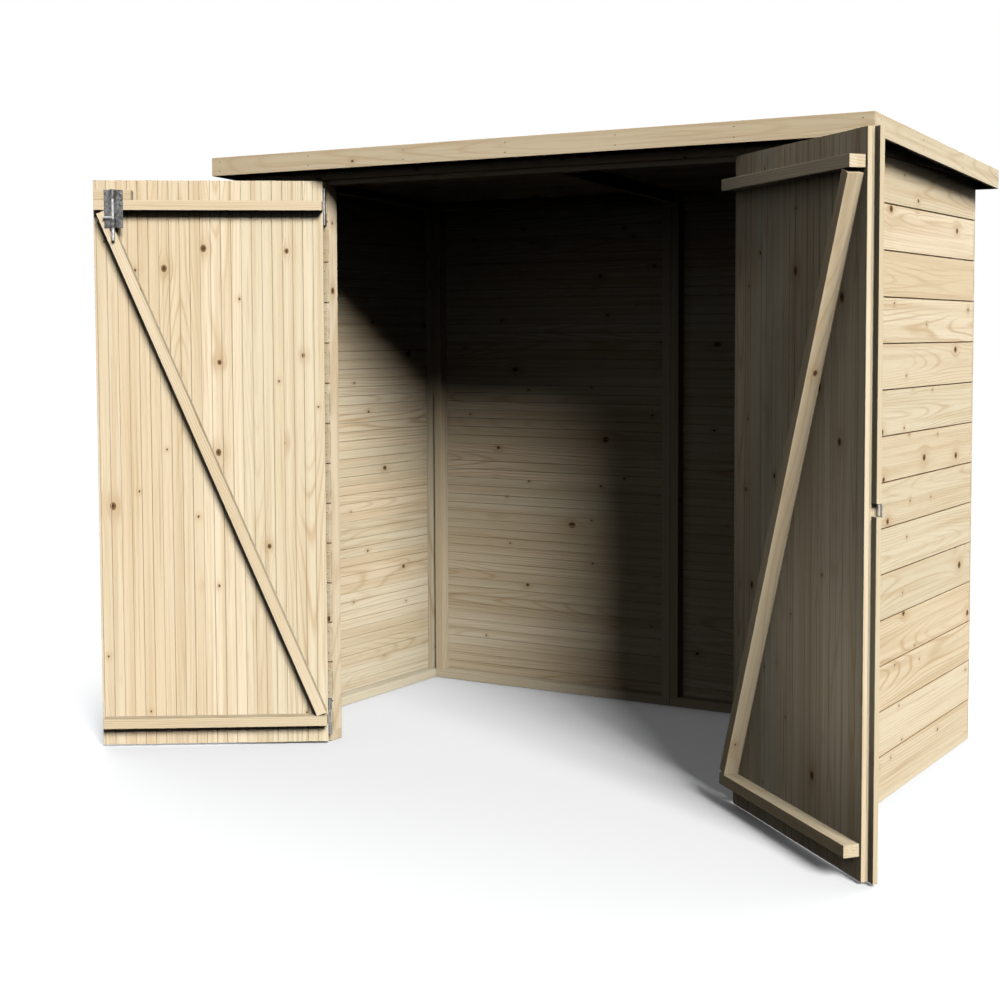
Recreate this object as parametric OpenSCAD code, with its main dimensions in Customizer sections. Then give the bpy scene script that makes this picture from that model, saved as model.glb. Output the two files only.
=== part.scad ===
// Timber bike shelter with a pent roof: clad panels on batten frames, a pair of ledged and
// braced doors on strap hinges, a slide bolt on the left door and a hasp on the right one.
// Millimetres. +Z is up, the doors face -Y, and the origin is the middle of the back wall's foot.

/* [Walls] */
// Outside width of the walls
width = 1829; // [1700:1:2200]
// Outside depth of the walls
depth = 914; // [700:1:1300]
// Height of the walls at the front
front_h = 1611; // [1300:1:1900]
// Fall of the roof from the front wall to the back wall
roof_fall = 45; // [25:1:120]
// Thickness of the cladding boards
board_t = 11; // [9:0.5:16]
// Width that one board covers
board_pitch = 111.5; // [90:0.5:140]
// Width of the V joint between two boards
joint_w = 5; // [3:0.5:8]
// Depth of the V joint between two boards
joint_d = 2.5; // [1.5:0.5:4]
// Width of the framing battens across their face
batten_w = 27; // [22:1:45]
// Depth of the framing battens behind the cladding
batten_d = 37; // [28:1:45]
// Gap between the frames of the two halves of the back wall
panel_seam = 1; // [0.5:0.5:3]

/* [Doorway] */
// Clear width between the jamb studs, which end flush with the cladding
doorway_w = 1253; // [1120:1:1320]
// Height of the header rail over the doorway
header_h = 61; // [50:1:120]
// How far the header rail reaches down past its cladding as a stop for the doors
stop_lap = 11; // [9:1:14]

/* [Doors] */
// Running gap around the doors
door_gap = 5; // [4:0.5:8]
// Height of the doors above the ground
door_lift = 6; // [4:1:20]
// Height from the foot of a door to its bottom ledge
ledge_rise = 52; // [40:1:90]
// Height from the top ledge to the top of a door
ledge_drop = 56; // [45:1:80]
// How far the ledges stop short of the free edge
ledge_setback = 8; // [6:1:20]
// How far the brace's middle stays inside the ends of the ledges
brace_inset = 15; // [13:1:30]
// Angle of the left door from shut, as stored
left_open = 146.5; // [90:0.5:165]
// Angle of the right door from shut, as stored
right_open = 139.5; // [90:0.5:165]
// How far the cover strip laps onto each door
strip_lap = 16; // [14:1:34]

/* [Roof] */
// Front overhang, out to the fascia's face
front_overhang = 71; // [50:1:110]
// Side overhang, out to the fascia's face
side_overhang = 59; // [40:1:90]
// Back overhang, out to the fascia's face
back_overhang = 16; // [15:1:40]
// Gap that the deck leaves over the tops of the walls
seat_gap = 0.2; // [0.1:0.1:0.5]
// Thickness of the roof deck
deck_t = 11; // [9:0.5:18]
// Thickness of the roofing felt
felt_t = 3; // [2:0.5:4]
// Length of felt dressed down over the back edge
felt_lip = 26; // [10:1:30]
// Height of the fascia boards
fascia_h = 51; // [45:1:75]
// Thickness of the fascia boards
fascia_t = 11; // [9:0.5:18]
// Height of the fascia above the felt
fascia_up = 7; // [3:0.5:12]

/* [Hinges] */
// Radius of the hinge knuckles
knuckle_r = 4.5; // [4:0.5:5]
// Radius of the hinge pins
pin_r = 2.5; // [2:0.1:2.8]
// Running clearance round the hinge pins
pin_clear = 0.05; // [0.03:0.01:0.1]
// Gap between the knuckles and the face of the door
knuckle_gap = 1.5; // [1:0.5:2]
// Gap between neighbouring knuckles
knuckle_slit = 0.5; // [0.3:0.1:1]
// Height of the fixed hinge plates
plate_h = 100; // [80:1:110]
// Width of the fixed hinge plates
plate_w = 34; // [25:1:45]
// Length of the hinge straps
strap_l = 230; // [150:1:320]
// Height of a strap at its knuckle
strap_h = 35; // [28:1:40]
// Height of a strap at its tip
strap_tip = 20; // [14:1:26]
// Thickness of the hinge steel
steel_t = 2.5; // [2:0.1:3]

/* [Bolt] */
// Distance of the bolt rod from the door's free edge
bolt_inset = 62; // [50:1:80]
// Width of the bolt plate
bolt_w = 50; // [40:1:60]
// Height of the bolt plate
bolt_h = 102; // [90:1:120]
// Radius of the bolt rod
rod_r = 4.5; // [3.5:0.5:5]
// Sliding clearance round the bolt rod
rod_clear = 0.3; // [0.2:0.1:0.5]
// Height of the rod's middle above its plate
rod_lift = 8; // [7.5:0.5:10]
// Length of the bolt rod
rod_l = 136; // [120:1:150]
// Height of each of the two guides on the plate
guide_h = 24; // [15:1:28]
// Length of the rod's handle
handle_l = 26; // [18:1:34]
// Radius of the rod's handle
handle_r = 3.5; // [2.5:0.5:4]
// Length of the block above the ledge that carries the bolt
block_l = 100; // [90:1:160]

/* [Hasp] */
// Height of the hasp above the ground
hasp_z = 781; // [500:1:1000]
// Height of the hasp strap
hasp_h = 28; // [24:1:36]
// Length of the hasp strap past its knuckle
hasp_l = 24; // [22:1:45]
// Width of the hasp's slot
slot_w = 9; // [8:0.5:11]
// Radius of the staple's wire
staple_r = 2.5; // [2:0.5:3]
// Distance between the legs of the staple
staple_span = 14; // [12:1:16]
// Reach of the staple out of the door
staple_out = 32; // [28:1:40]
// Room round the staple in the cover strip's notch
notch_room = 4; // [3:0.5:6]

/* [Hidden] */
$fn = 48;

pine = "burlywood";
batten = "tan";
steel = "silver";

half_w = width / 2;
back_y = 0;
front_y = back_y - depth;
slope = roof_fall / depth;

// Inner faces of the cladding and of the frames
clad_x = half_w - board_t;
frame_x = clad_x - batten_d;
clad_front_y = front_y + board_t;
clad_back_y = back_y - board_t;
frame_front_y = clad_front_y + batten_d;
frame_back_y = clad_back_y - batten_d;

// Doorway: the header rail stops the doors, and its cladding is cut back over them
doorway_h = front_h - header_h;
jamb_x = doorway_w / 2;
clad_edge_z = doorway_h + stop_lap + door_gap / 2;

// Doors, shut: each hangs in the gap of the cladding and clears its stop
hinge_edge_x = jamb_x - door_gap;
free_edge_x = door_gap / 2;
door_in_y = clad_front_y - door_gap;
door_out_y = door_in_y - board_t;
door_top = clad_edge_z - door_gap;
ledge_in_y = door_in_y + batten_d;
ledge_free_x = free_edge_x + ledge_setback;
low_ledge_z = door_lift + ledge_rise;
high_ledge_z = door_top - ledge_drop - batten_w;

// Hinge axes, level with the ledges
axis_x = jamb_x - door_gap / 2;
axis_y = door_out_y - knuckle_gap - knuckle_r;
hinge_z = [low_ledge_z + batten_w / 2, high_ledge_z + batten_w / 2];

// Roof
eave_x = half_w + side_overhang;
eave_front_y = front_y - front_overhang;
eave_back_y = back_y + back_overhang;
deck_x = eave_x - fascia_t;
deck_front_y = eave_front_y + fascia_t;
deck_back_y = eave_back_y - fascia_t;
deck_top = seat_gap + deck_t;
fascia_above = deck_top + felt_t + fascia_up;
fascia_below = fascia_h - fascia_above;

// Bolt, on the ledge and its block
bolt_x = -(free_edge_x + bolt_inset);
block_top = high_ledge_z + 2 * batten_w;
bolt_z = block_top - bolt_h;
rod_y = ledge_in_y + steel_t + rod_lift;
rod_z = block_top - rod_l;

// Cover strip and hasp
strip_in_y = door_out_y - door_gap;
strip_out_y = strip_in_y - board_t;
staple_x = -(free_edge_x + strip_lap) / 2;
notch_h = staple_span + 2 * (staple_r + notch_room);

// Height of the tops of the walls, which the roof deck lies on
function roof_z(y) = front_h - (y - front_y) * slope;

// The outer face of a row of boards from a to b, as depth and place, with a V at each joint
function board_face(a, b) = [
    [0, a],
    for (i = [1 : floor((b - joint_w) / board_pitch)])
        if (i * board_pitch > a + joint_w)
            each [
                [0, i * board_pitch - joint_w / 2],
                [joint_d, i * board_pitch],
                [0, i * board_pitch + joint_w / 2]
            ],
    [0, b]
];

// A profile drawn in Y and Z, extruded along X
module across(x0, x1, profile) {
    translate([x0, 0, 0])
        rotate([90, 0, 90])
            linear_extrude(x1 - x0)
                polygon(profile);
}

// A box between two corners
module box(low, high) {
    translate(low)
        cube(high - low);
}

// A piece that stands on the height z0 and is cut to the slope of the roof
module under_roof(x0, x1, y0, y1, z0) {
    across(x0, x1, [[y0, z0], [y1, z0], [y1, roof_z(y1)], [y0, roof_z(y0)]]);
}

// A piece that runs with the roof, from below to above the tops of the walls
module along_roof(x0, x1, y0, y1, below, above) {
    across(x0, x1, [
        [y0, roof_z(y0) - below], [y1, roof_z(y1) - below],
        [y1, roof_z(y1) + above], [y0, roof_z(y0) + above]
    ]);
}

// Boards across the front or back: y_out is their outer face, and depth_dir points into the wall
module cross_boards(x0, x1, y_out, depth_dir, z0) {
    y_in = y_out + depth_dir * board_t;
    face = board_face(z0, roof_z(y_out));
    across(x0, x1, [
        [y_in, z0],
        for (p = face) [y_out + depth_dir * p[0], p[1]],
        [y_in, roof_z(y_in)]
    ]);
}

// A stud between the bottom rail and the top rail of a wall
module stud(x0, y0, dx, dy) {
    across(x0, x0 + dx, [
        [y0, batten_w], [y0 + dy, batten_w],
        [y0 + dy, roof_z(y0 + dy) - batten_w], [y0, roof_z(y0) - batten_w]
    ]);
}

// The right half of the shelter is the left half mirrored
module on_right() {
    mirror([1, 0, 0])
        children();
}

// Side walls, between the front and back cladding
module side_cladding() {
    top = roof_z(clad_front_y);
    color(pine)
        intersection() {
            translate([0, clad_back_y, 0])
                rotate([90, 0, 0])
                    linear_extrude(clad_back_y - clad_front_y)
                        polygon([
                            [-clad_x, 0],
                            for (p = board_face(0, top)) [p[0] - half_w, p[1]],
                            [-clad_x, top]
                        ]);
            under_roof(-half_w, -clad_x, clad_front_y, clad_back_y, 0);
        }
}

module side_studs() {
    color(batten)
        for (y = [clad_front_y, clad_back_y - batten_w])
            stud(-clad_x, y, batten_d, batten_w);
}

module side_bottom_rail() {
    color(batten)
        box([-clad_x, clad_front_y, 0], [-frame_x, clad_back_y, batten_w]);
}

module side_top_rail() {
    color(batten)
        along_roof(-clad_x, -frame_x, clad_front_y, clad_back_y, batten_w, 0);
}

// Back wall, in two halves that meet in the middle
module back_cladding() {
    color(pine)
        cross_boards(-half_w, 0, back_y, -1, 0);
}

module back_studs() {
    color(batten)
        for (x = [-frame_x, -panel_seam / 2 - batten_w, panel_seam / 2, frame_x - batten_w])
            stud(x, frame_back_y, batten_w, batten_d);
}

module back_bottom_rails() {
    color(batten)
        for (x = [-frame_x, panel_seam / 2])
            box([x, frame_back_y, 0], [x + frame_x - panel_seam / 2, clad_back_y, batten_w]);
}

module back_top_rails() {
    color(batten)
        for (x = [-frame_x, panel_seam / 2])
            along_roof(x, x + frame_x - panel_seam / 2, frame_back_y, clad_back_y, batten_w, 0);
}

// Front wall: a narrow panel on each side of the doorway and a header over it
module front_cladding() {
    color(pine)
        cross_boards(-half_w, -jamb_x, front_y, 1, 0);
}

module front_studs() {
    color(batten)
        for (x = [-frame_x, -jamb_x - batten_w])
            box([x, clad_front_y, batten_w], [x + batten_w, frame_front_y, doorway_h]);
}

module front_bottom_rail() {
    color(batten)
        box([-frame_x, clad_front_y, 0], [-jamb_x, frame_front_y, batten_w]);
}

module header_cladding() {
    color(pine)
        cross_boards(-jamb_x, jamb_x, front_y, 1, clad_edge_z);
}

module header_rail() {
    color(batten)
        under_roof(-frame_x, frame_x, clad_front_y, frame_front_y, doorway_h);
}

// Roof
module roof_deck() {
    color(pine)
        along_roof(-deck_x, deck_x, deck_front_y, deck_back_y, -seat_gap, deck_top);
}

// Felt, dressed down over the back fascia
module roof_felt() {
    low = deck_top;
    high = deck_top + felt_t;
    lip_y = eave_back_y + felt_t;
    color("dimgray")
        across(-deck_x, deck_x, [
            [deck_front_y, roof_z(deck_front_y) + low],
            [eave_back_y, roof_z(eave_back_y) + low],
            [eave_back_y, roof_z(eave_back_y) + low - felt_lip],
            [lip_y, roof_z(eave_back_y) + low - felt_lip],
            [lip_y, roof_z(lip_y) + high],
            [deck_front_y, roof_z(deck_front_y) + high]
        ]);
}

module roof_bearer() {
    color(batten)
        along_roof(-batten_w / 2, batten_w / 2, frame_front_y, frame_back_y, batten_d, 0);
}

module front_fascia() {
    color(pine)
        along_roof(-eave_x, eave_x, eave_front_y, deck_front_y, fascia_below, fascia_above);
}

module side_fascia() {
    color(pine)
        along_roof(-eave_x, -deck_x, deck_front_y, eave_back_y, fascia_below, fascia_above);
}

// The back fascia stops level with the deck, so that the felt runs out over it
module back_fascia() {
    color(pine)
        along_roof(-deck_x, deck_x, deck_back_y, eave_back_y, fascia_below, deck_top);
}

// The fixed half of a strap hinge: a plate on the cladding, the outer knuckles and the pin
module hinge_plate() {
    knuckle_l = (plate_h - strap_h) / 2;
    color(steel)
        for (z = hinge_z)
            translate([-axis_x, 0, z]) {
                box([-plate_w, front_y - steel_t, -plate_h / 2], [-knuckle_r, front_y, plate_h / 2]);
                for (end = [-plate_h / 2, plate_h / 2 - knuckle_l + knuckle_slit]) {
                    box([-2 * knuckle_r, axis_y, end], [0, front_y, end + knuckle_l - knuckle_slit]);
                    translate([0, axis_y, end])
                        cylinder(r = knuckle_r, h = knuckle_l - knuckle_slit);
                }
                translate([0, axis_y, -plate_h / 2])
                    cylinder(r = pin_r, h = plate_h);
            }
}

// The left door, shut: upright boards, counted from the hinges
module door_boards() {
    door_w = hinge_edge_x - free_edge_x;
    color(pine)
        translate([-hinge_edge_x, 0, door_lift])
            linear_extrude(door_top - door_lift)
                polygon([
                    [0, door_in_y],
                    for (p = board_face(0, door_w)) [p[1], door_out_y + p[0]],
                    [door_w, door_in_y]
                ]);
}

module door_ledges() {
    color(batten)
        for (z = [low_ledge_z, high_ledge_z])
            box([-hinge_edge_x, door_in_y, z], [-ledge_free_x, ledge_in_y, z + batten_w]);
}

// The brace stands on the bottom ledge beside the hinges and holds up the free end of the top one
module door_brace() {
    foot_x = -hinge_edge_x + brace_inset;
    head_x = -ledge_free_x - brace_inset;
    clear_h = high_ledge_z - low_ledge_z - batten_w;
    lean = atan((head_x - foot_x) / clear_h);
    end_rise = batten_w / 2 * sin(lean);
    length = (clear_h - 2 * end_rise) / cos(lean);
    color(batten)
        translate([foot_x, door_in_y, low_ledge_z + batten_w + end_rise])
            rotate([0, lean, 0])
                translate([-batten_w / 2, 0, 0])
                    cube([batten_w, batten_d, length]);
}

// The moving half of a strap hinge: a tapered strap and its knuckle round the pin.
// side is -1 on the left door, 1 on the right one.
module door_straps(side) {
    root_x = knuckle_r / 4;
    taper_l = strap_l - strap_tip / 3;
    color(steel)
        for (z = hinge_z)
            translate([side * axis_x, 0, z])
                rotate([0, side < 0 ? 0 : 180, 0])
                    difference() {
                        union() {
                            translate([0, door_out_y, 0])
                                rotate([90, 0, 0])
                                    linear_extrude(steel_t)
                                        polygon([
                                            [root_x, -strap_h / 2], [taper_l, -strap_tip / 2],
                                            [strap_l, -strap_tip / 6], [strap_l, strap_tip / 6],
                                            [taper_l, strap_tip / 2], [root_x, strap_h / 2]
                                        ]);
                            translate([0, axis_y, -strap_h / 2])
                                cylinder(r = knuckle_r, h = strap_h);
                        }
                        translate([0, axis_y, -strap_h / 2])
                            cylinder(r = pin_r + pin_clear, h = strap_h);
                    }
}

// Slide bolt
module bolt_block() {
    color(batten)
        box(
            [-ledge_free_x - block_l, door_in_y, block_top - batten_w],
            [-ledge_free_x, ledge_in_y, block_top]
        );
}

module bolt_plate() {
    guide_r = rod_r + rod_clear + steel_t;
    color(steel)
        translate([bolt_x, ledge_in_y, bolt_z])
            difference() {
                union() {
                    box([-bolt_w / 2, 0, 0], [bolt_w / 2, steel_t, bolt_h]);
                    for (z = [0, bolt_h - guide_h]) {
                        box([-guide_r, 0, z], [guide_r, steel_t + rod_lift, z + guide_h]);
                        translate([0, steel_t + rod_lift, z])
                            cylinder(r = guide_r, h = guide_h);
                    }
                }
                translate([0, steel_t + rod_lift, 0])
                    cylinder(r = rod_r + rod_clear, h = bolt_h);
            }
}

module bolt_rod() {
    handle_z = bolt_z + guide_h + handle_r + rod_clear;
    color(steel) {
        translate([bolt_x, rod_y, rod_z])
            cylinder(r = rod_r, h = rod_l);
        translate([bolt_x, rod_y, handle_z])
            rotate([0, 90, 0])
                cylinder(r = handle_r, h = handle_l);
    }
}

// Staple on the left door, which comes through the notch of the cover strip
module hasp_staple() {
    bar_y = door_out_y - staple_out + staple_r;
    color(steel)
        for (leg = [-staple_span / 2, staple_span / 2])
            translate([staple_x, door_out_y, hasp_z + leg])
                rotate([90, 0, 0])
                    cylinder(r = staple_r, h = staple_out - staple_r);
    color(steel)
        translate([staple_x, bar_y, hasp_z - staple_span / 2 - staple_r])
            cylinder(r = staple_r, h = staple_span + 2 * staple_r);
}

// Cover strip on the right door, rebated to clear the left one and notched round the staple
module cover_strip() {
    color(pine)
        difference() {
            union() {
                box([free_edge_x, strip_out_y, door_lift], [free_edge_x + strip_lap, door_out_y, door_top]);
                box([-free_edge_x - strip_lap, strip_out_y, door_lift], [free_edge_x, strip_in_y, door_top]);
            }
            box(
                [-free_edge_x - strip_lap, strip_out_y, hasp_z - notch_h / 2],
                [free_edge_x, strip_in_y, hasp_z + notch_h / 2]
            );
        }
}

// Hasp: a plate on the cover strip, a knuckle and a slotted strap over the staple
module hasp() {
    slot_h = staple_span + slot_w;
    barrel_r = steel_t;
    color(steel)
        translate([free_edge_x, strip_out_y, hasp_z]) {
            box([0, -steel_t, -hasp_h / 2], [strip_lap, 0, hasp_h / 2]);
            translate([0, -barrel_r, -hasp_h / 2])
                cylinder(r = barrel_r, h = hasp_h);
            difference() {
                box([-hasp_l, -steel_t, -hasp_h / 2], [0, 0, hasp_h / 2]);
                translate([staple_x - free_edge_x, 0, 0])
                    box([-slot_w / 2, -steel_t, -slot_h / 2], [slot_w / 2, 0, slot_h / 2]);
            }
        }
}

// The doors swing about their hinge axes, from shut to the stored pose
module swing_left() {
    translate([-axis_x, axis_y, 0])
        rotate([0, 0, -left_open])
            translate([axis_x, -axis_y, 0])
                children();
}

module swing_right() {
    translate([axis_x, axis_y, 0])
        rotate([0, 0, right_open])
            translate([-axis_x, -axis_y, 0])
                children();
}

side_cladding();  // left_wall_cladding
side_studs();  // left_wall_studs
side_bottom_rail();  // left_wall_bottom_rail
side_top_rail();  // left_wall_top_rail
on_right() side_cladding();  // right_wall_cladding
on_right() side_studs();  // right_wall_studs
on_right() side_bottom_rail();  // right_wall_bottom_rail
on_right() side_top_rail();  // right_wall_top_rail
back_cladding();  // back_left_cladding
on_right() back_cladding();  // back_right_cladding
back_studs();
back_bottom_rails();
back_top_rails();
front_cladding();  // front_left_cladding
front_studs();  // front_left_studs
front_bottom_rail();  // front_left_bottom_rail
on_right() front_cladding();  // front_right_cladding
on_right() front_studs();  // front_right_studs
on_right() front_bottom_rail();  // front_right_bottom_rail
header_cladding();
header_rail();
roof_deck();
roof_felt();
roof_bearer();
front_fascia();
side_fascia();  // left_fascia
on_right() side_fascia();  // right_fascia
back_fascia();
hinge_plate();  // left_hinge_plates
on_right() hinge_plate();  // right_hinge_plates
swing_left() door_boards();  // left_door_boards
swing_left() door_ledges();  // left_door_ledges
swing_left() door_brace();  // left_door_brace
swing_left() door_straps(-1);  // left_door_straps
swing_left() bolt_block();
swing_left() bolt_plate();
swing_left() bolt_rod();
swing_left() hasp_staple();
swing_right() on_right() door_boards();  // right_door_boards
swing_right() on_right() door_ledges();  // right_door_ledges
swing_right() on_right() door_brace();  // right_door_brace
swing_right() door_straps(1);  // right_door_straps
swing_right() cover_strip();
swing_right() hasp();
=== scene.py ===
import math
import random

import bmesh
import bpy
from mathutils import Matrix, Vector


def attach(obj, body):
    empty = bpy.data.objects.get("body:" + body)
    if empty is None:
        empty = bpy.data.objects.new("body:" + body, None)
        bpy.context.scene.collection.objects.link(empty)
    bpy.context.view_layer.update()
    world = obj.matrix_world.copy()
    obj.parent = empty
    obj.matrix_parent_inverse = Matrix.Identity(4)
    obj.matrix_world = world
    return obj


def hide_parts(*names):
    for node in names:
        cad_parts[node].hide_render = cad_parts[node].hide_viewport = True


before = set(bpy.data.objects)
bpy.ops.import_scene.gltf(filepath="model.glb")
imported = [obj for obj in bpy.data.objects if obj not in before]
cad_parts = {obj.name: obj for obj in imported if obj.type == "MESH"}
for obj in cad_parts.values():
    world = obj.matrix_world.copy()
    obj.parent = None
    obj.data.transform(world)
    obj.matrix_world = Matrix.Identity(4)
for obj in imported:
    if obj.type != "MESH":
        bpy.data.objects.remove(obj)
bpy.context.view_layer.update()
MM = 0.001

# Sizes of the part, in millimetres
WIDTH, DEPTH, FRONT_H, FALL = 1829, 914, 1611, 45
SLOPE = FALL / DEPTH
BOARD_T, PITCH, V_W, V_D = 11, 111.5, 5, 2.5
CLAD_EDGE_X, CLAD_EDGE_Z = 626.5, 1563.5
HINGE_X, FREE_X, DOOR_OUT_Y, DOOR_LOW, DOOR_TOP = 621.5, 2.5, -919, 6, 1558.5
DOOR_W = HINGE_X - FREE_X
AXIS_X, AXIS_Y, LEFT_OPEN, RIGHT_OPEN = 624, -925, 146.5, 139.5
HINGE_Z = (71.5, 1489)
DECK_X, DECK_FRONT_Y, DECK_BACK_Y = 962.5, -974, 5
DECK_GAP, DECK_T, FELT_T, FASCIA_T, PLATE_T = 0.2, 11, 3, 11, 2.5


def roof_z(y):
    """Height of the walls' sloped top edge."""
    return FRONT_H - (y + DEPTH) * SLOPE


def swing(side):
    """World matrix that takes a shut door, in mm, to the rest pose. side is -1 for the left door."""
    angle = math.radians(-LEFT_OPEN if side < 0 else RIGHT_OPEN)
    pivot = Matrix.Translation((side * AXIS_X, AXIS_Y, 0))
    return pivot @ Matrix.Rotation(angle, 4, "Z") @ pivot.inverted()


# Materials
class Nodes:
    """A short way to write a node tree."""

    def __init__(self, tree):
        self.tree = tree

    def new(self, kind, inputs=(), **props):
        node = self.tree.nodes.new(kind)
        for key, value in props.items():
            setattr(node, key, value)
        for key, value in dict(inputs).items():
            self.put(node.inputs[key], value)
        return node

    def put(self, socket, value):
        if isinstance(value, bpy.types.NodeSocket):
            self.tree.links.new(value, socket)
        else:
            socket.default_value = value

    def math(self, op, a, b=0.0, c=0.0):
        return self.new("ShaderNodeMath", {0: a, 1: b, 2: c}, operation=op).outputs[0]

    def add(self, a, b):
        return self.math("ADD", a, b)

    def sub(self, a, b):
        return self.math("SUBTRACT", a, b)

    def mul(self, a, b):
        return self.math("MULTIPLY", a, b)

    def madd(self, a, b, c):
        return self.math("MULTIPLY_ADD", a, b, c)

    def power(self, a, b):
        return self.math("POWER", a, b)

    def hypot(self, a, b):
        return self.math("SQRT", self.add(self.power(a, 2.0), self.power(b, 2.0)))

    def mix(self, fac, a, b, blend="MIX"):
        node = self.new("ShaderNodeMix", data_type="RGBA", blend_type=blend)
        self.put(node.inputs[0], fac)
        self.put(node.inputs[6], a)
        self.put(node.inputs[7], b)
        return node.outputs[2]

    def step(self, value, low, high):
        node = self.new("ShaderNodeMapRange", {0: value, 1: low, 2: high, 3: 0.0, 4: 1.0})
        node.interpolation_type = "SMOOTHSTEP"
        return node.outputs[0]

    def vector(self, x, y, z=0.0):
        return self.new("ShaderNodeCombineXYZ", {0: x, 1: y, 2: z}).outputs[0]

    def split(self, vector):
        return self.new("ShaderNodeSeparateXYZ", {0: vector}).outputs

    def channels(self, colour):
        return self.new("ShaderNodeSeparateColor", {0: colour}).outputs

    def place(self, kind="Object"):
        return self.new("ShaderNodeTexCoord").outputs[kind]

    def noise(self, vector, scale, detail=2.0, rough=0.5):
        inputs = {"Vector": vector, "Scale": scale, "Detail": detail, "Roughness": rough}
        return self.new("ShaderNodeTexNoise", inputs).outputs[0]

    def cells(self, vector, scale, randomness=1.0, **props):
        inputs = {"Vector": vector, "Scale": scale, "Randomness": randomness}
        return self.new("ShaderNodeTexVoronoi", inputs, **props).outputs

    def shader(self, kind, inputs):
        return self.new(kind, inputs).outputs[0]


class Finish(Nodes):
    """The node tree of a new material, with its Principled shader."""

    def __init__(self, name):
        self.mat = bpy.data.materials.new(name)
        self.mat.use_nodes = True
        super().__init__(self.mat.node_tree)
        self.bsdf = self.tree.nodes["Principled BSDF"]

    def set(self, name, value):
        self.put(self.bsdf.inputs[name], value)

    def read(self, name, output="Fac"):
        return self.new("ShaderNodeAttribute", attribute_name=name).outputs[output]

    def bump(self, height, strength, distance):
        inputs = {"Height": height, "Strength": strength, "Distance": distance}
        self.set("Normal", self.shader("ShaderNodeBump", inputs))


def opaque(colour, factors=(1, 1, 1)):
    return [c * k for c, k in zip(colour, factors)] + [1]


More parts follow.
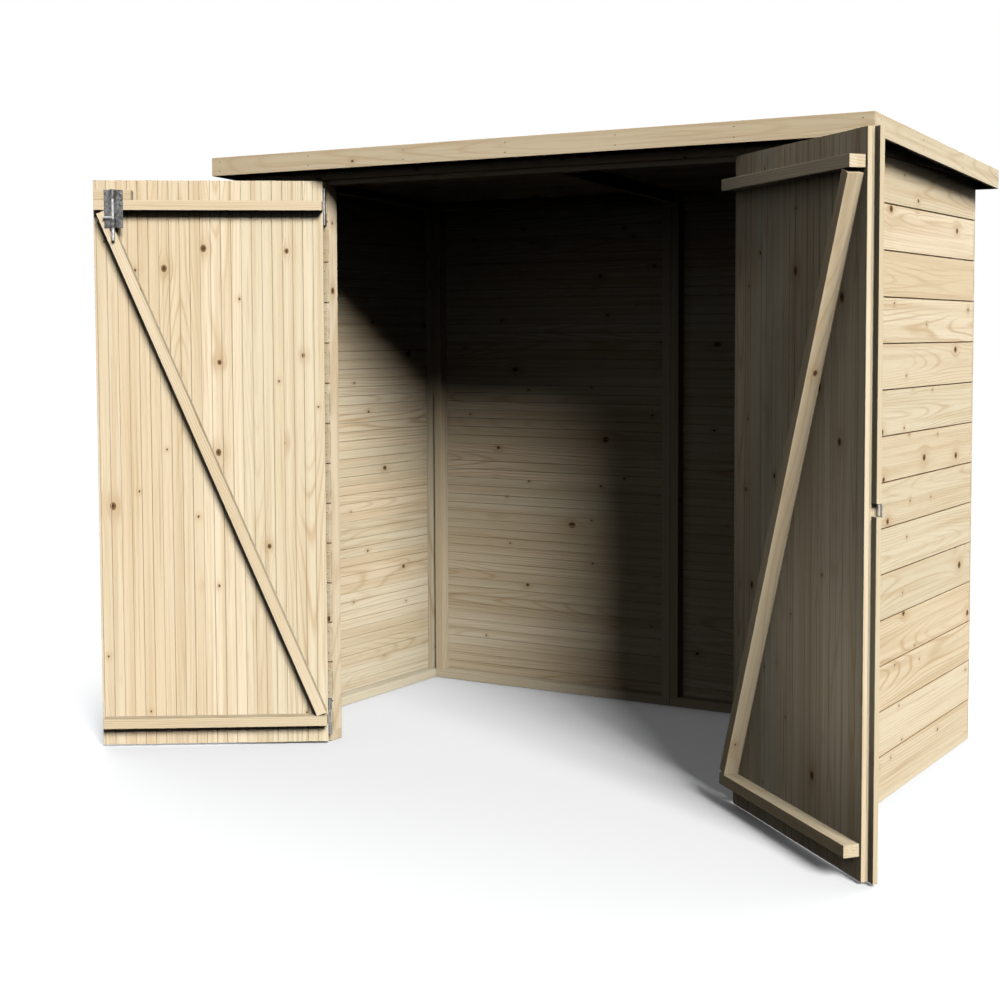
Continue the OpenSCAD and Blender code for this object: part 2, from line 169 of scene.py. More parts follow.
def pine(name, pale, line, knot_share):
    """Planed softwood in a pale colour with darker lines. knot_share is the share of cells with a knot.

    The mesh holds grain (metres along, across and into the wood), heart (metres from the pith),
    tint (0 to 1, one value a board), the darkness of the painted shade in the joints and relief grooves,
    and end and plain, the faces across the grain and without knots.
    """
    n = Finish(name)
    along, across, depth = n.split(n.read("grain", "Vector"))
    tint, heart, dirt, end, plain = [n.read(key) for key in ("tint", "heart", "dirt", "end", "plain")]

    # Knots: one place in each cell, some of them empty
    cell_a, cell_c = 3.6, 10.0  # cells in a metre, along and across
    least, spread = 0.0022, 0.0072  # radius in metres
    flat, halo_radii, pull = 0.75, 3.6, 0.9
    cell = n.cells(n.vector(n.mul(along, cell_a), n.mul(across, cell_c)), 1.0, 0.9, voronoi_dimensions="2D")
    here = n.split(cell["Position"])
    chance = n.channels(cell["Color"])
    off_a = n.sub(along, n.math("DIVIDE", here[0], cell_a))
    off_c = n.sub(across, n.math("DIVIDE", here[1], cell_c))
    present = n.mul(n.math("LESS_THAN", chance[1], knot_share), n.sub(1.0, plain))
    radius = n.madd(n.power(chance[0], 3.0), spread, least)
    away = n.hypot(n.mul(off_a, flat), off_c)
    wide = n.math("DIVIDE", away, n.mul(radius, halo_radii))
    halo = n.mul(present, n.math("EXPONENT", n.mul(n.power(wide, 2.0), -1.0)))
    push = n.mul(n.mul(off_c, halo), pull)

    # Growth rings about the pith, drawn aside round the knots and wandering along the board
    ring_rate, ring_drift, ring_power = 1000.0, 9.0, 6.0
    bent = n.sub(across, push)
    wander = n.noise(n.vector(n.mul(along, 1.2), n.mul(across, 8.0), depth), 1.0, 1.5)
    rise = n.madd(n.math("SINE", n.mul(along, 1.7)), 0.022, n.madd(wander, 0.045, 0.012))
    rise = n.add(rise, n.math("MODULO", depth, 1.0))
    pith = n.hypot(n.sub(heart, push), rise)
    ring = n.math("SINE", n.madd(pith, ring_rate, n.mul(wander, ring_drift)))
    ring = n.power(n.madd(ring, 0.5, 0.5), ring_power)

    # Bands, streaks and fibres, each finer than the last
    band = n.noise(n.vector(n.mul(along, 0.8), n.mul(bent, 42.0), depth), 1.0, 1.0)
    fine, finest = 170.0, 800.0
    streak = n.noise(n.vector(n.mul(along, 2.4), n.mul(bent, fine), n.mul(depth, fine)), 1.0, 3.0, 0.6)
    fibre = n.noise(n.vector(n.mul(along, 16.0), n.mul(across, finest), n.mul(depth, finest)), 1.0, 1.0, 0.6)

    # A knot's core and its dark rim, with a frayed outline
    ratio = n.mul(n.math("DIVIDE", away, radius), n.madd(streak, 0.5, 0.75))
    core = n.mul(present, n.sub(1.0, n.step(ratio, 0.8, 1.15)))
    edge = n.step(n.math("ABSOLUTE", n.sub(ratio, 0.98)), 0.0, 0.22)
    rim = n.mul(present, n.sub(1.0, edge))

    # Colour. tint also picks each board's hue and how strongly its rings show
    dull, fair = opaque(pale, (0.9, 0.87, 0.82)), opaque(pale, (1.06, 1.07, 1.1))
    brown, late = opaque(line, (0.7, 0.6, 0.5)), opaque(line, (0.88, 0.78, 0.66))
    warm, cool = (1.025, 0.985, 0.945, 1), (0.965, 0.99, 0.985, 1)
    stain, rim_brown, grime_and_shade = (0.46, 0.27, 0.115, 1), (0.085, 0.04, 0.018, 1), (0.185, 0.095, 0.036, 1)
    knot_dark, knot_brown = (0.035, 0.016, 0.008, 1), (0.25, 0.125, 0.052, 1)
    hue = n.math("FRACT", n.mul(tint, 7.31))
    figure = n.madd(n.math("FRACT", n.mul(tint, 17.9)), 0.42, 0.3)
    colour = n.mix(tint, dull, fair)
    colour = n.mix(1.0, colour, n.mix(hue, warm, cool), "MULTIPLY")
    colour = n.mix(n.mul(n.step(band, 0.38, 0.72), 0.55), colour, opaque(line))
    colour = n.mix(n.mul(n.mul(ring, n.step(wander, 0.3, 0.62)), figure), colour, late)
    colour = n.mix(n.mul(n.step(streak, 0.52, 0.8), 0.5), colour, brown)
    colour = n.mix(n.mul(n.step(fibre, 0.5, 0.85), 0.22), colour, brown)
    colour = n.mix(n.mul(halo, 0.38), colour, stain)
    colour = n.mix(n.mul(core, 0.92), colour, n.mix(n.step(ratio, 0.2, 0.95), knot_dark, knot_brown))
    colour = n.mix(n.mul(rim, 0.6), colour, rim_brown)
    colour = n.mix(n.mul(end, n.madd(ring, 0.16, 0.03)), colour, brown)
    # Painted shade in the joints and relief grooves, in a dark brown, darker deeper in the joints
    colour = n.mix(dirt, colour, grime_and_shade)
    n.set("Base Color", colour)
    n.set("Roughness", n.madd(streak, 0.2, 0.52))
    n.set("Specular IOR Level", 0.003)
    n.bump(fibre, 0.35, 0.0005)
    return n.mat


def galvanised(name, dark, bright):
    """Zinc-coated steel with spangles between a dark and a bright grey."""
    n = Finish(name)
    place = n.place()
    flake = n.channels(n.cells(place, 210.0)["Color"])[0]
    grime_and_shade = n.noise(place, 45.0, 3.0, 0.6)
    colour = n.mix(flake, opaque(dark), opaque(bright))
    colour = n.mix(n.mul(n.step(grime_and_shade, 0.48, 0.75), 0.45), colour, opaque(dark, (0.6, 0.6, 0.6)))
    n.set("Base Color", colour)
    n.set("Metallic", 0.85)
    n.set("Roughness", n.madd(flake, 0.16, n.madd(grime_and_shade, 0.2, 0.24)))
    n.bump(n.add(n.mul(flake, 0.3), grime_and_shade), 0.25, 0.0003)
    return n.mat


def mineral_felt(name):
    """Roofing felt with a dark green-grey grit."""
    n = Finish(name)
    place = n.place()
    grit = n.cells(place, 620.0)
    grain = n.channels(grit["Color"])[0]
    patch = n.noise(place, 3.2, 4.0, 0.6)
    colour = n.mix(grain, (0.026, 0.031, 0.029, 1), (0.115, 0.125, 0.115, 1))
    colour = n.mix(n.mul(n.step(patch, 0.4, 0.7), 0.5), colour, (0.045, 0.05, 0.047, 1))
    n.set("Base Color", colour)
    n.set("Roughness", n.madd(grain, 0.15, 0.8))
    n.bump(n.madd(grit["Distance"], -0.8, n.mul(patch, 0.6)), 0.6, 0.0012)
    return n.mat


CLAD = pine("cladding_pine", (0.815, 0.71, 0.53), (0.62, 0.47, 0.285), 0.68)
BATTEN = pine("batten_pine", (0.76, 0.66, 0.49), (0.59, 0.45, 0.27), 0.28)
STEEL = galvanised("galvanised_steel", (0.075, 0.075, 0.075), (0.19, 0.19, 0.19))
BRIGHT = galvanised("bright_steel", (0.36, 0.36, 0.36), (0.6, 0.6, 0.6))
ZINC = galvanised("zinc_plate", (0.27, 0.268, 0.26), (0.46, 0.456, 0.445))
FELT = mineral_felt("mineral_felt")


# Mesh helpers. Everything is built in millimetres in the part's frame.
class Piece:
    """Collects solids with their grain coordinates and makes one object of them."""

    THIN = 1.5  # a face with less than this along the grain is end grain

    def __init__(self):
        self.verts, self.faces, self.grain = [], [], []
        self.tint, self.heart, self.dirt, self.end, self.plain = [], [], [], [], []

    def add(self, bm, to_grain, rng, dark=None):
        """to_grain gives (along, across, depth) in mm, dark the painted shade at such a place."""
        start = len(self.verts)
        shift = Vector((rng.uniform(0, 90), rng.uniform(0, 90), rng.randrange(9)))
        tint = rng.random()
        local = [to_grain(v.co) for v in bm.verts]
        low, high = min(p.y for p in local), max(p.y for p in local)
        middle = (low + high) / 2 + rng.uniform(-0.35, 0.35) * (high - low)
        for i, (v, p) in enumerate(zip(bm.verts, local)):
            v.index = i
            self.verts.append(v.co * MM)
            self.grain.append(p * MM + shift)
            self.tint.append(tint)
            self.heart.append((p.y - middle) * MM)
            self.dirt.append(dark(p) if dark else 0.0)
        for f in bm.faces:
            self.faces.append([start + v.index for v in f.verts])
            spans = [max(c) - min(c) for c in zip(*(local[v.index] for v in f.verts))]
            self.end.append(1.0 if spans[0] < self.THIN else 0.0)
            self.plain.append(1.0 if min(spans[0], spans[1]) < self.THIN else 0.0)
        bm.free()

    def make(self, name, material, body, slot, *nodes):
        mesh = bpy.data.meshes.new(name)
        mesh.from_pydata(self.verts, [], self.faces)
        grain = mesh.attributes.new("grain", "FLOAT_VECTOR", "POINT")
        grain.data.foreach_set("vector", [c for g in self.grain for c in g])
        for domain, keys in (("POINT", ("tint", "heart", "dirt")), ("FACE", ("end", "plain"))):
            for key in keys:
                mesh.attributes.new(key, "FLOAT", domain).data.foreach_set("value", getattr(self, key))
        mesh.materials.append(material)
        mesh.update()
        obj = bpy.data.objects.new(name, mesh)
        bpy.context.scene.collection.objects.link(obj)
        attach(obj, body)
        if nodes:
            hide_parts(*nodes)
        return obj


def prism(section, place, a0, a1):
    """A closed solid: section holds (across, depth) points, place maps (along, across, depth) to the frame."""
    bm = bmesh.new()
    low = [bm.verts.new(place(a0, c, d)) for c, d in section]
    high = [bm.verts.new(place(a1, c, d)) for c, d in section]
    count = len(section)
    for i in range(count):
        j = (i + 1) % count
        bm.faces.new((low[i], low[j], high[j], high[i]))
    ends = [bm.faces.new(low), bm.faces.new(high)]
    bmesh.ops.recalc_face_normals(bm, faces=bm.faces)
    bmesh.ops.triangulate(bm, faces=ends)
    return bm


def board_section(c0, c1, first, last, relief):
    """Cross-section of one tongued and grooved board: V edges outside, relief grooves inside."""
    gap, arris, lip, ease = 0.25, 0.7, 0.35, 0.6
    tongue_out, groove_in, clear = 3.5, 4.2, 3
    half, t = V_W / 2, BOARD_T
    a, b = c0 if first else c0 + gap, c1 if last else c1 - gap
    if first:
        start, groove = [(a, arris), (c0 + arris, 0)], []
    else:
        start = [(a, V_D), (c0 + half - lip, lip), (c0 + half, 0)]
        groove = [(a, 7.6), (c0 + groove_in, 7.5), (c0 + groove_in, 3.9), (a, 3.8)]
    if last:
        end, tongue = [(c1 - arris, 0), (b, arris)], []
    else:
        end = [(c1 - half, 0), (c1 - half + lip, lip), (b, V_D)]
        tongue = [(b, 4.0), (c1 + tongue_out, 4.2), (c1 + tongue_out, 7.2), (b, 7.4)]
    inner = [(b, t - ease), (b - ease, t)]
    for r in sorted(relief, reverse=True):
        if a + clear < r < b - clear:
            inner += [(r + 1.1, t), (r + 0.8, t - 0.4), (r, t - 1.4), (r - 0.8, t - 0.4), (r - 1.1, t)]
    inner += [(a + ease, t), (a, t - ease)]
    return start + end + tongue + inner + groove


def cut_off(bm, point, normal):
    """Removes what lies past a plane and closes the cut."""
    geom = bm.verts[:] + bm.edges[:] + bm.faces[:]
    parts = bmesh.ops.bisect_plane(
        bm, geom=geom, dist=1e-4, plane_co=point, plane_no=normal, clear_outer=True)
    edges = [e for e in parts["geom_cut"] if isinstance(e, bmesh.types.BMEdge)]
    if edges:
        made = bmesh.ops.holes_fill(bm, edges=edges, sides=0)["faces"]
        bmesh.ops.triangulate(bm, faces=made)


def groove_dirt(relief, low, high):
    """Painted shade at a place of a board: in the joints at low and high, darker deeper in them, and in the
    relief grooves.
    """

    def dark(p):
        if 0.3 < p.z < BOARD_T - 0.7 and min(p.y - low, high - p.y) < V_W / 2:
            return min(0.92, 0.2 + 0.4 * (p.z - 0.3))
        near = min(relief, key=lambda r: abs(p.y - r))
        if BOARD_T - 2 < p.z < BOARD_T - 0.3 and abs(p.y - near) < 2:
            return relief[near]
        return 0.0

    return dark


# Ranges of painted shade in the relief grooves; the heavier one is for the right door, whose inside is in
# shade
LIGHT_GROOVE_SHADE, HEAVY_GROOVE_SHADE = (0.1, 0.55), (0.45, 0.9)


def boards(seed, place, unplace, a0, a1, c_start, c_end, cut=None, turn=None, grime_and_shade=LIGHT_GROOVE_SHADE):
    """A row of boards from c_start to c_end, with joints at whole pitches from 0."""
    rng = random.Random(seed)
    piece = Piece()
    to_grain = unplace
    if turn:
        undo = turn.inverted()
        to_grain = lambda p: unplace(undo @ p)
    k = math.floor(c_start / PITCH + 1e-6)
    while k * PITCH < c_end - 1:
        c0, c1 = max(k * PITCH, c_start), min((k + 1) * PITCH, c_end)
        # Painted shade of each relief groove
        relief = {k * PITCH + PITCH * q / 4: rng.uniform(*grime_and_shade) for q in (1, 2, 3)}
        first, last = k * PITCH <= c_start, (k + 1) * PITCH >= c_end
        section = board_section(c0, c1, first, last, relief)
        trims = [rng.uniform(0, 0.5) if abs(a) > 1 else 0 for a in (a0, a1)]
        bm = prism(section, place, a0 + trims[0], a1 - trims[1])
        if cut:
            cut_off(bm, *cut)
        if len(bm.verts):
            if turn:
                bmesh.ops.transform(bm, matrix=turn, verts=bm.verts)
            dark = groove_dirt(relief, -99 if first else c0, 1e9 if last else c1)
            piece.add(bm, to_grain, rng, dark)
        k += 1
    return piece


FRONT, BACK = Vector((0, -1, 0)), Vector((0, 1, 0))
TOP = Vector((0, SLOPE, 1)).normalized()
ROOF_CUT = (Vector((0, -DEPTH, FRONT_H)), TOP)
SIDES = ((-1, "left"), (1, "right"))


def on_front(a, c, d):
    return Vector((a, -DEPTH + d, c))


def from_front(p):
    return Vector((p.x, p.z, p.y + DEPTH))


# Cladding of the walls, and the upright door boards, counted from the hinges
for side, name in SIDES:
    boards(
        f"{name} wall",
        lambda a, c, d, s=side: Vector((s * (WIDTH / 2 - d), a, c)),
        lambda p, s=side: Vector((p.y, p.z, WIDTH / 2 - s * p.x)),
        -DEPTH + BOARD_T, -BOARD_T, 0, FRONT_H, ROOF_CUT,
    ).make(f"{name}_wall_boards", CLAD, "shelter", "cladding_wood", f"{name}_wall_cladding")
    x0, x1 = sorted((side * WIDTH / 2, 0))
    boards(
        f"back {name}",
        lambda a, c, d: Vector((a, -d, c)),
        lambda p: Vector((p.x, p.z, -p.y)),
        x0, x1, 0, FRONT_H, ROOF_CUT,
    ).make(f"back_{name}_boards", CLAD, "shelter", "cladding_wood", f"back_{name}_cladding")
    x0, x1 = sorted((side * WIDTH / 2, side * CLAD_EDGE_X))
    boards(
        f"front {name}", on_front, from_front, x0, x1, 0, FRONT_H, ROOF_CUT,
    ).make(f"front_{name}_boards", CLAD, "shelter", "cladding_wood", f"front_{name}_cladding")
    # The right door's inside is in shade, so its grooves get heavier painted shade
    boards(
        f"{name} door",
        lambda a, c, d, s=side: Vector((s * (HINGE_X - c), DOOR_OUT_Y + d, a)),
        lambda p, s=side: Vector((p.z, HINGE_X - s * p.x, p.y - DOOR_OUT_Y)),
        DOOR_LOW, DOOR_TOP, 0, DOOR_W, None, swing(side), LIGHT_GROOVE_SHADE if side < 0 else HEAVY_GROOVE_SHADE,
    ).make(f"{name}_door_planks", CLAD, f"{name}_door", "cladding_wood", f"{name}_door_boards")

boards(
    "header", on_front, from_front, -CLAD_EDGE_X, CLAD_EDGE_X, CLAD_EDGE_Z, FRONT_H, ROOF_CUT,
).make("header_boards", CLAD, "shelter", "cladding_wood", "header_cladding")

# Roof boards, with their V joints facing down
boards(
    "roof",
    lambda a, c, d: Vector((a, DECK_FRONT_Y + c, roof_z(DECK_FRONT_Y + c) + DECK_GAP + d)),
    lambda p: Vector((p.x, p.y - DECK_FRONT_Y, p.z - roof_z(p.y))),
    -DECK_X, DECK_X, 0, DECK_BACK_Y - DECK_FRONT_Y,
).make("roof_boards", CLAD, "shelter", "cladding_wood", "roof_deck")


def islands(mesh):
    """The separate solids of a CAD node, as bmeshes in millimetres."""
    whole = bmesh.new()
    whole.from_mesh(mesh)
    bmesh.ops.scale(whole, vec=(1000, 1000, 1000), verts=whole.verts)
    bmesh.ops.remove_doubles(whole, verts=whole.verts, dist=0.01)
    left = set(whole.verts)
    groups = []
    while left:
        group, todo = set(), [min(left, key=lambda v: v.index)]
        while todo:
            v = todo.pop()
            if v in group:
                continue
            group.add(v)
            todo += [e.other_vert(v) for e in v.link_edges]
        left -= group
        groups.append(group)
    for group in groups:
        bm = bmesh.new()
        made = {v: bm.verts.new(v.co) for v in sorted(group, key=lambda v: v.index)}
        for f in whole.faces:
            if f.verts[0] in group:
                bm.faces.new([made[v] for v in f.verts])
        bm.normal_update()
        yield bm
    whole.free()


def battens(node, body, arris=1.2):
    """Planed timber: the CAD solids with eased edges and grain along their length."""
    rng = random.Random(node)
    piece = Piece()
    for bm in islands(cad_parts[node].data):
        bmesh.ops.dissolve_limit(bm, angle_limit=math.radians(1), verts=bm.verts, edges=bm.edges)
        bm.normal_update()
        longest = max(bm.edges, key=lambda e: e.calc_length())
        length = (longest.verts[1].co - longest.verts[0].co).normalized()
        sides = [f for f in bm.faces if abs(f.normal.dot(length)) < 0.1]
        normal = max(sides, key=lambda f: f.calc_area()).normal.copy()
        normal = (normal - length * normal.dot(length)).normalized()
        wide = length.cross(normal)
        bmesh.ops.bevel(bm, geom=bm.edges[:], offset=arris, segments=2, profile=0.6, affect="EDGES")
        bmesh.ops.triangulate(bm, faces=[f for f in bm.faces if len(f.verts) > 4])
        piece.add(bm, lambda p, l=length, w=wide, n=normal: Vector((p.dot(l), p.dot(w), p.dot(n))), rng)
    return piece.make(f"{node}_timber", BATTEN, body, "frame_wood", node)


for node in (
    "left_wall_studs", "left_wall_bottom_rail", "left_wall_top_rail",
    "right_wall_studs", "right_wall_bottom_rail", "right_wall_top_rail",
    "back_studs", "back_bottom_rails", "back_top_rails",
    "front_left_studs", "front_left_bottom_rail", "front_right_studs", "front_right_bottom_rail",
    "header_rail", "roof_bearer", "front_fascia", "left_fascia", "right_fascia", "back_fascia",
):
    battens(node, "shelter")
for node in ("left_door_ledges", "left_door_brace", "bolt_block"):
    battens(node, "left_door")
for node in ("right_door_ledges", "right_door_brace", "cover_strip"):
    battens(node, "right_door", 0.8)

# CAD nodes that show as they are
for material, nodes in (
    (ZINC, ("left_hinge_plates", "right_hinge_plates", "left_door_straps", "right_door_straps")),
    (STEEL, ("bolt_plate", "hasp_staple")),
    (BRIGHT, ("bolt_rod", "hasp")),
    (FELT, ("roof_felt",)),
):
    for node in nodes:
        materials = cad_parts[node].data.materials
        materials.clear()
        materials.append(material)

# Screws, nails and felt clouts. Each ring of a head is (radius, height, waist of a cross recess).
SCREW = ((1.0, -0.1, 1), (0.97, 0.14, 1), (0.66, 0.26, 1), (0.56, 0.26, 0.42), (0.44, -0.08, 0.42))
NAIL = ((1.0, -0.1, 1), (0.92, 0.1, 1), (0.5, 0.16, 1))
CLOUT = ((1.0, -0.05, 1), (0.98, 0.1, 1), (0.7, 0.15, 1))
CORNERS = 12


def heads(name, body, slot, places, radius, rings, material=STEEL):
    """Fastener heads at (point, normal) places."""
    piece = Piece()
    rng = random.Random(name)
    for point, normal in places:
        bm = bmesh.new()
        u = normal.orthogonal().normalized()
        v = normal.cross(u)
        spin = rng.uniform(0, math.tau)
        loops = []
        for r, h, waist in rings:
            loop = []
            for k in range(CORNERS):
                reach = radius * r * (1 if k % 3 == 0 else waist)
                angle = spin + k * math.tau / CORNERS
                around = (u * math.cos(angle) + v * math.sin(angle)) * reach
                loop.append(bm.verts.new(point + normal * (h * radius) + around))
            loops.append(loop)
        for low, high in zip(loops, loops[1:]):
            for k in range(CORNERS):
                j = (k + 1) % CORNERS
                bm.faces.new((low[k], low[j], high[j], high[k]))
        bm.faces.new(loops[-1])
        bmesh.ops.triangulate(bm, faces=[f for f in bm.faces if len(f.verts) > 4])
        piece.add(bm, lambda p: p.copy(), rng)
    return piece.make(name, material, body, slot)


# Places of the fasteners, in millimetres
STRAP_SCREWS, PLATE_SCREW_X, PLATE_SCREWS = (38, 98, 158, 212), 21, (-37, 0, 37)
DOOR_BOARDS, LEDGE_NAILS, STRAP_END = 6, (-7, 7), 240
BRACE_X, BRACE_Z, BRACE_RUN, BRACE_RISE = 15, 85, 581, 1390.5
WALL_BOARDS, BOARD_NAILS, NAIL_TOP = 14, (25, 86.5), FRONT_H - FALL - 35
STUD_IN, CORNER_STUD_X, MIDDLE_STUD_X, JAMB_STUD_X = 24.5, 853, 14, 634
FASCIA_NAILS = (-17, 8)
STRAP_SCREW_R, BOLT_SCREW_R, HASP_SCREW_R, CLOUT_R = 4.2, 3.6, 2.6, 5.0
DOOR_NAIL_R, WALL_NAIL_R, FASCIA_NAIL_R = 1.7, 1.6, 1.8

rows = [k * PITCH + q for k in range(WALL_BOARDS) for q in BOARD_NAILS if k * PITCH + q < NAIL_TOP]
wall_nails, plate_screws, fascia_nails = [], [], []
for side, name in SIDES:
    body, outward = f"{name}_door", Vector((side, 0, 0))
    turn = swing(side)
    out = turn.to_3x3() @ FRONT
    straps, nails = [], []
    for z in HINGE_Z:
        for d in STRAP_SCREWS:
            straps.append((turn @ Vector((side * (AXIS_X - d), DOOR_OUT_Y - PLATE_T, z)), out))
        for dz in PLATE_SCREWS:
            plate_screws.append((Vector((side * (AXIS_X + PLATE_SCREW_X), -DEPTH - PLATE_T, z + dz)), FRONT))
    heads(f"{body}_strap_screws", body, "galvanised", straps, STRAP_SCREW_R, SCREW, BRIGHT)
    for k in range(DOOR_BOARDS):
        c0, c1 = k * PITCH, min((k + 1) * PITCH, DOOR_W)
        for share in (0.24, 0.73 if k < DOOR_BOARDS - 1 else 0.6):
            c = c0 + share * (c1 - c0)
            spots = [z + dz for z in HINGE_Z for dz in LEDGE_NAILS if c > STRAP_END]
            spots += [BRACE_Z + (c - BRACE_X) / BRACE_RUN * BRACE_RISE] if 40 < c < 580 else []
            nails += [(turn @ Vector((side * (HINGE_X - c), DOOR_OUT_Y, z)), out) for z in spots]
    heads(f"{body}_nails", body, "galvanised", nails, DOOR_NAIL_R, NAIL)
    for z in rows:
        wall_nails += [(Vector((side * WIDTH / 2, y, z)), outward) for y in (-DEPTH + STUD_IN, -STUD_IN)]
        wall_nails += [(Vector((side * x, 0, z)), BACK) for x in (CORNER_STUD_X, MIDDLE_STUD_X)]
        wall_nails += [(Vector((side * x, -DEPTH, z)), FRONT) for x in (CORNER_STUD_X, JAMB_STUD_X)]
    for y in (-945, -640, -320, -10):
        x = side * (DECK_X + FASCIA_T)
        fascia_nails += [(Vector((x, y, roof_z(y) + dz)), outward) for dz in FASCIA_NAILS]
for x in range(-945, 946, 315):
    y = DECK_FRONT_Y - FASCIA_T
    fascia_nails += [(Vector((x, y, roof_z(y) + dz)), FRONT) for dz in FASCIA_NAILS]
heads("wall_nails", "shelter", "galvanised", wall_nails, WALL_NAIL_R, NAIL)
heads("fascia_nails", "shelter", "galvanised", fascia_nails, FASCIA_NAIL_R, NAIL)
heads("hinge_plate_screws", "shelter", "galvanised", plate_screws, STRAP_SCREW_R, SCREW, BRIGHT)

turn = swing(-1)
inward = turn.to_3x3() @ BACK
spots = [(turn @ Vector((-64.5 + dx, -868.5, z)), inward) for dx in (-19, 19) for z in (1489, 1518)]
heads("bolt_plate_screws", "left_door", "galvanised", spots, BOLT_SCREW_R, SCREW)
turn = swing(1)
out = turn.to_3x3() @ FRONT
spots = [(turn @ Vector((12, -937.5, 781 + dz)), out) for dz in (-8, 8)]
heads("hasp_screws", "right_door", "galvanised", spots, HASP_SCREW_R, SCREW, BRIGHT)

# Clouts along the front, both sides and the back
spots = [(x, -960) for x in range(-900, 901, 150)]
spots += [(x, y) for x in (-946, 946) for y in range(-940, 1, 156)]
spots += [(x, -12) for x in range(-930, 931, 155)]
clouts = [(Vector((x, y, roof_z(y) + DECK_GAP + DECK_T + FELT_T)), TOP) for x, y in spots]
heads("felt_clouts", "shelter", "galvanised", clouts, CLOUT_R, CLOUT)

# Stage, in metres: a pale floor that takes shadows and painted contact shade near the part,
# a white background, a key light from the right and a soft fill from behind and above
scene = bpy.context.scene
scene.view_settings.view_transform = "Standard"
scene.cycles.diffuse_bounces = 0
WHITE = (1, 1, 1, 1)
FLOOR_HALF, FLOOR_Z = 60, -0.001
POOL, POOL_IN, POOL_OUT = (0.2, -0.9, 0), 1.2, 2.3  # middle and radii of the floor that takes shadows
POOL_GLOW, FAR_GLOW = 0.08, 1.02
FILL_LEAST, FILL_REAR = 0.09, 1.7
KEY_ENERGY, KEY_ANGLE, TO_KEY = 4.55, 21, Vector((1.4226, -1.0798, 1.12)).normalized()
CARD_ENERGY, CARD_SIZE, CARD_SPREAD = 0.12, 0.4, 65
CARD_AT, CARD_AIM = (0.8, -1.75, 0.03), Vector((0.295, 0.731, 0.616))


def seen_direct(n):
    """1 for rays that show the stage itself: camera, mirror and glass rays."""
    path = n.new("ShaderNodeLightPath").outputs
    mirrored = n.math("MAXIMUM", path["Is Glossy Ray"], path["Is Transmission Ray"])
    return n.math("MAXIMUM", path["Is Camera Ray"], mirrored)


def link(name, data):
    obj = bpy.data.objects.new(name, data)
    scene.collection.objects.link(obj)
    return obj


h = FLOOR_HALF
floor_mesh = bpy.data.meshes.new("floor")
floor_mesh.from_pydata([(-h, -h, 0), (h, -h, 0), (h, h, 0), (-h, h, 0)], [], [(0, 1, 2, 3)])
floor = link("floor", floor_mesh)
floor.location.z = FLOOR_Z

# To light that it returns, the floor is dark. Seen directly, it is pale, with a faint glow that ambient
# occlusion dims into painted contact shade near the part, and white farther out.
n = Finish("floor_white")
n.set("Base Color", (0.06, 0.06, 0.06, 1))
n.set("Roughness", 0.9)
n.set("Specular IOR Level", 0.0)
# Painted contact shade: ambient occlusion dims the floor's glow near the part, and more where the part touches
# the floor
near, touch = [
    n.new("ShaderNodeAmbientOcclusion", {"Distance": d}, samples=6).outputs["AO"] for d in (0.16, 0.035)
]
painted_contact_shade = n.mul(n.madd(near, 0.7, 0.28), n.madd(touch, 0.55, 0.45))
away = n.new("ShaderNodeVectorMath", {0: n.place(), 1: POOL}, operation="DISTANCE").outputs["Value"]
glow = n.shader("ShaderNodeEmission", {"Color": WHITE, "Strength": n.mul(painted_contact_shade, POOL_GLOW)})
pale = n.shader("ShaderNodeBsdfDiffuse", {"Color": (0.97, 0.98, 1.0, 1)})
lit = n.shader("ShaderNodeAddShader", {0: pale, 1: glow})
far = n.shader("ShaderNodeEmission", {"Color": WHITE, "Strength": FAR_GLOW})
shown = n.shader("ShaderNodeMixShader", {0: n.step(away, POOL_IN, POOL_OUT), 1: lit, 2: far})
whole = n.shader("ShaderNodeMixShader", {0: seen_direct(n), 1: n.bsdf.outputs[0], 2: shown})
n.put(n.tree.nodes["Material Output"].inputs["Surface"], whole)
floor_mesh.materials.append(n.mat)

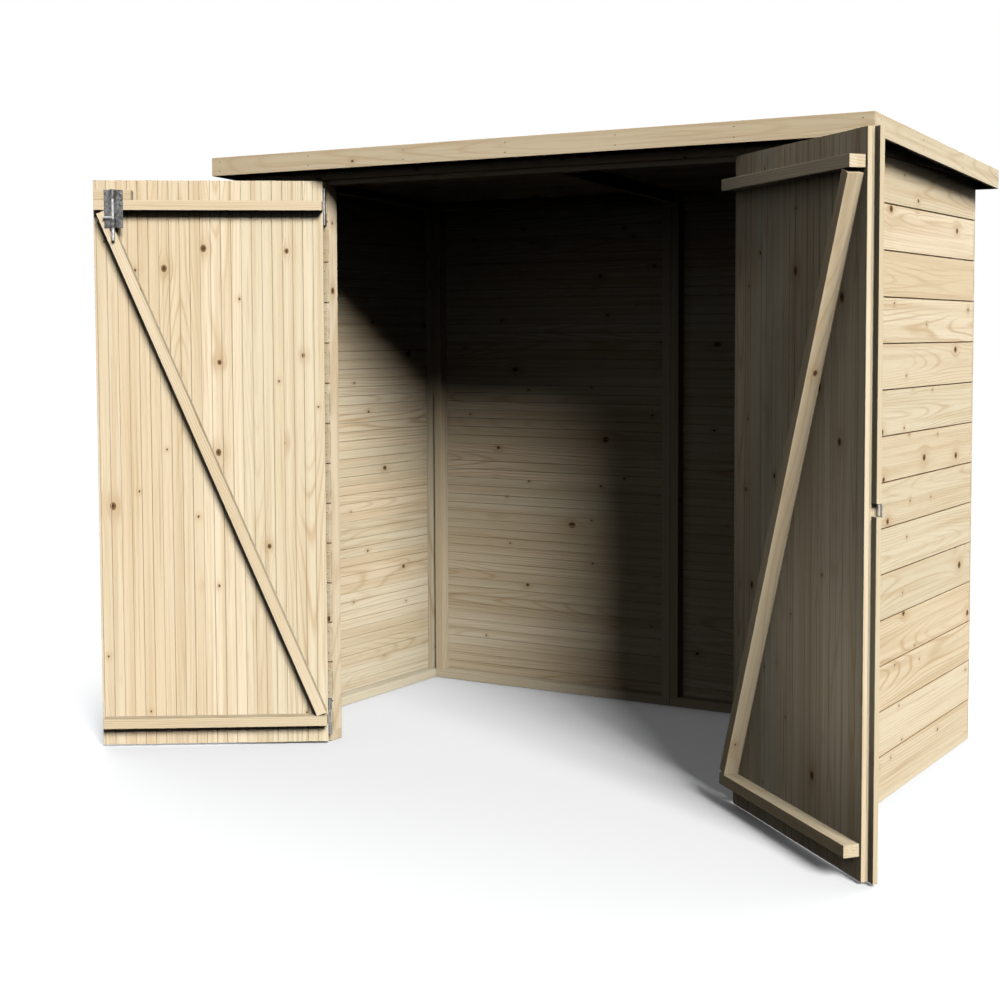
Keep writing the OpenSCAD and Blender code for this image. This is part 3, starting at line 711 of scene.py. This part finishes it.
world = bpy.data.worlds.new("studio")
scene.world = world
world.use_nodes = True
n = Nodes(world.node_tree)
n.tree.nodes.clear()
x, y, z = n.split(n.place("Generated"))
rear = n.add(n.mul(y, 0.9), n.madd(z, 0.3, n.mul(x, -0.3)))
fill = n.madd(n.step(rear, 0.2, 0.95), FILL_REAR, FILL_LEAST)
sky = n.shader("ShaderNodeBackground", {"Color": (0.97, 0.985, 1.0, 1), "Strength": fill})
white = n.shader("ShaderNodeBackground", {"Color": WHITE, "Strength": 1.0})
mixed = n.shader("ShaderNodeMixShader", {0: seen_direct(n), 1: sky, 2: white})
n.put(n.new("ShaderNodeOutputWorld").inputs["Surface"], mixed)

sun = bpy.data.lights.new("key", "SUN")
sun.energy = KEY_ENERGY
sun.angle = math.radians(KEY_ANGLE)
sun.color = (1.0, 0.99, 0.965)
key = link("key", sun)
key.rotation_euler = TO_KEY.to_track_quat("Z", "Y").to_euler()

# A low card returns the floor's light to the right door's inside
card = bpy.data.lights.new("card", "AREA")
card.shape = "DISK"
card.size = CARD_SIZE
card.spread = math.radians(CARD_SPREAD)
card.energy = CARD_ENERGY
bounce = link("card", card)
bounce.visible_camera = bounce.visible_glossy = bounce.visible_transmission = False
bounce.location = CARD_AT
bounce.rotation_euler = CARD_AIM.to_track_quat("-Z", "Y").to_euler()

# Camera at the photograph's viewpoint
CAMERA_AT, CAMERA_TURN = (2.25008, -4.57621, 1.14503), (-30.21, -3.6, -0.11)
FOCAL_PX, PICTURE_PX, SENSOR = 1664.25, 1000, 36
yaw, pitch, roll = (math.radians(v) for v in CAMERA_TURN)
ahead = Vector((math.sin(yaw) * math.cos(pitch), math.cos(yaw) * math.cos(pitch), math.sin(pitch)))
right = Vector((math.cos(yaw), -math.sin(yaw), 0))
up = right.cross(ahead)
right, up = math.cos(roll) * right + math.sin(roll) * up, -math.sin(roll) * right + math.cos(roll) * up
camera_data = bpy.data.cameras.new("camera")
camera_data.sensor_width = SENSOR
camera_data.lens = FOCAL_PX * SENSOR / PICTURE_PX
camera_data.shift_x, camera_data.shift_y = -0.0600, -0.0633
camera_data.clip_end = 200
camera = link("camera", camera_data)
camera.matrix_world = Matrix([(right[i], up[i], -ahead[i], CAMERA_AT[i]) for i in range(3)] + [(0, 0, 0, 1)])
scene.camera = camera
